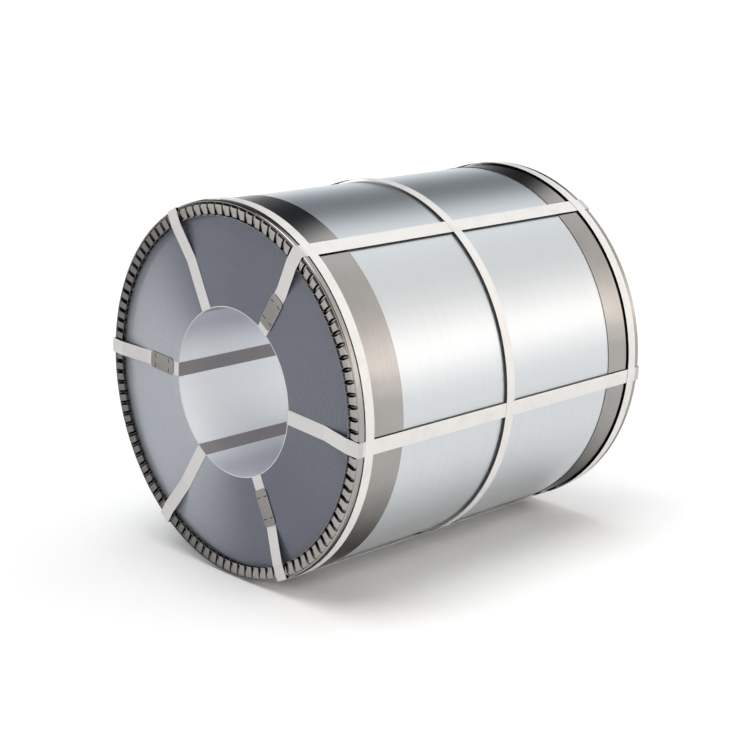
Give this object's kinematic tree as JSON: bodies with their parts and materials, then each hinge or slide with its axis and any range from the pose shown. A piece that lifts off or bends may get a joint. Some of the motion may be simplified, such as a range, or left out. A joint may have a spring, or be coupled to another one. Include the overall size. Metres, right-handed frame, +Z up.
{
  "type": "steel coil",
  "caption": "Coil of steel strip lying on its side, with crimped edge protectors, girth straps and straps through its bore.",
  "frame": {"origin": "middle of the coil on the floor, at the bottom of its girth straps", "axes": "+Z up, the coil's axis along Y with its front end facing -Y, +X to the right seen from the front"},
  "size_m": [1.1382, 1.2192, 1.1384],
  "materials": {
    "strip_steel": "bright rolled strip, dull on its cut ends",
    "protector_steel": "satin sheet",
    "strap_steel": "off-white painted steel strap",
    "seal_steel": "satin pressed sheet"
  },
  "bodies": {
    "root": {"coil": "strip_steel", "edge_protector_front": "protector_steel", "edge_protector_back": "protector_steel", "girth_strap_front": "strap_steel", "girth_strap_middle": "strap_steel", "girth_strap_back": "strap_steel", "eye_strap_1": "strap_steel", "eye_strap_2": "strap_steel", "eye_strap_3": "strap_steel", "eye_strap_4": "strap_steel", "eye_strap_5": "strap_steel", "eye_strap_6": "strap_steel", "seal_1": "seal_steel", "seal_2": "seal_steel", "seal_3": "seal_steel", "seal_4": "seal_steel", "seal_5": "seal_steel", "seal_6": "seal_steel"}
  },
  "joints": []
}
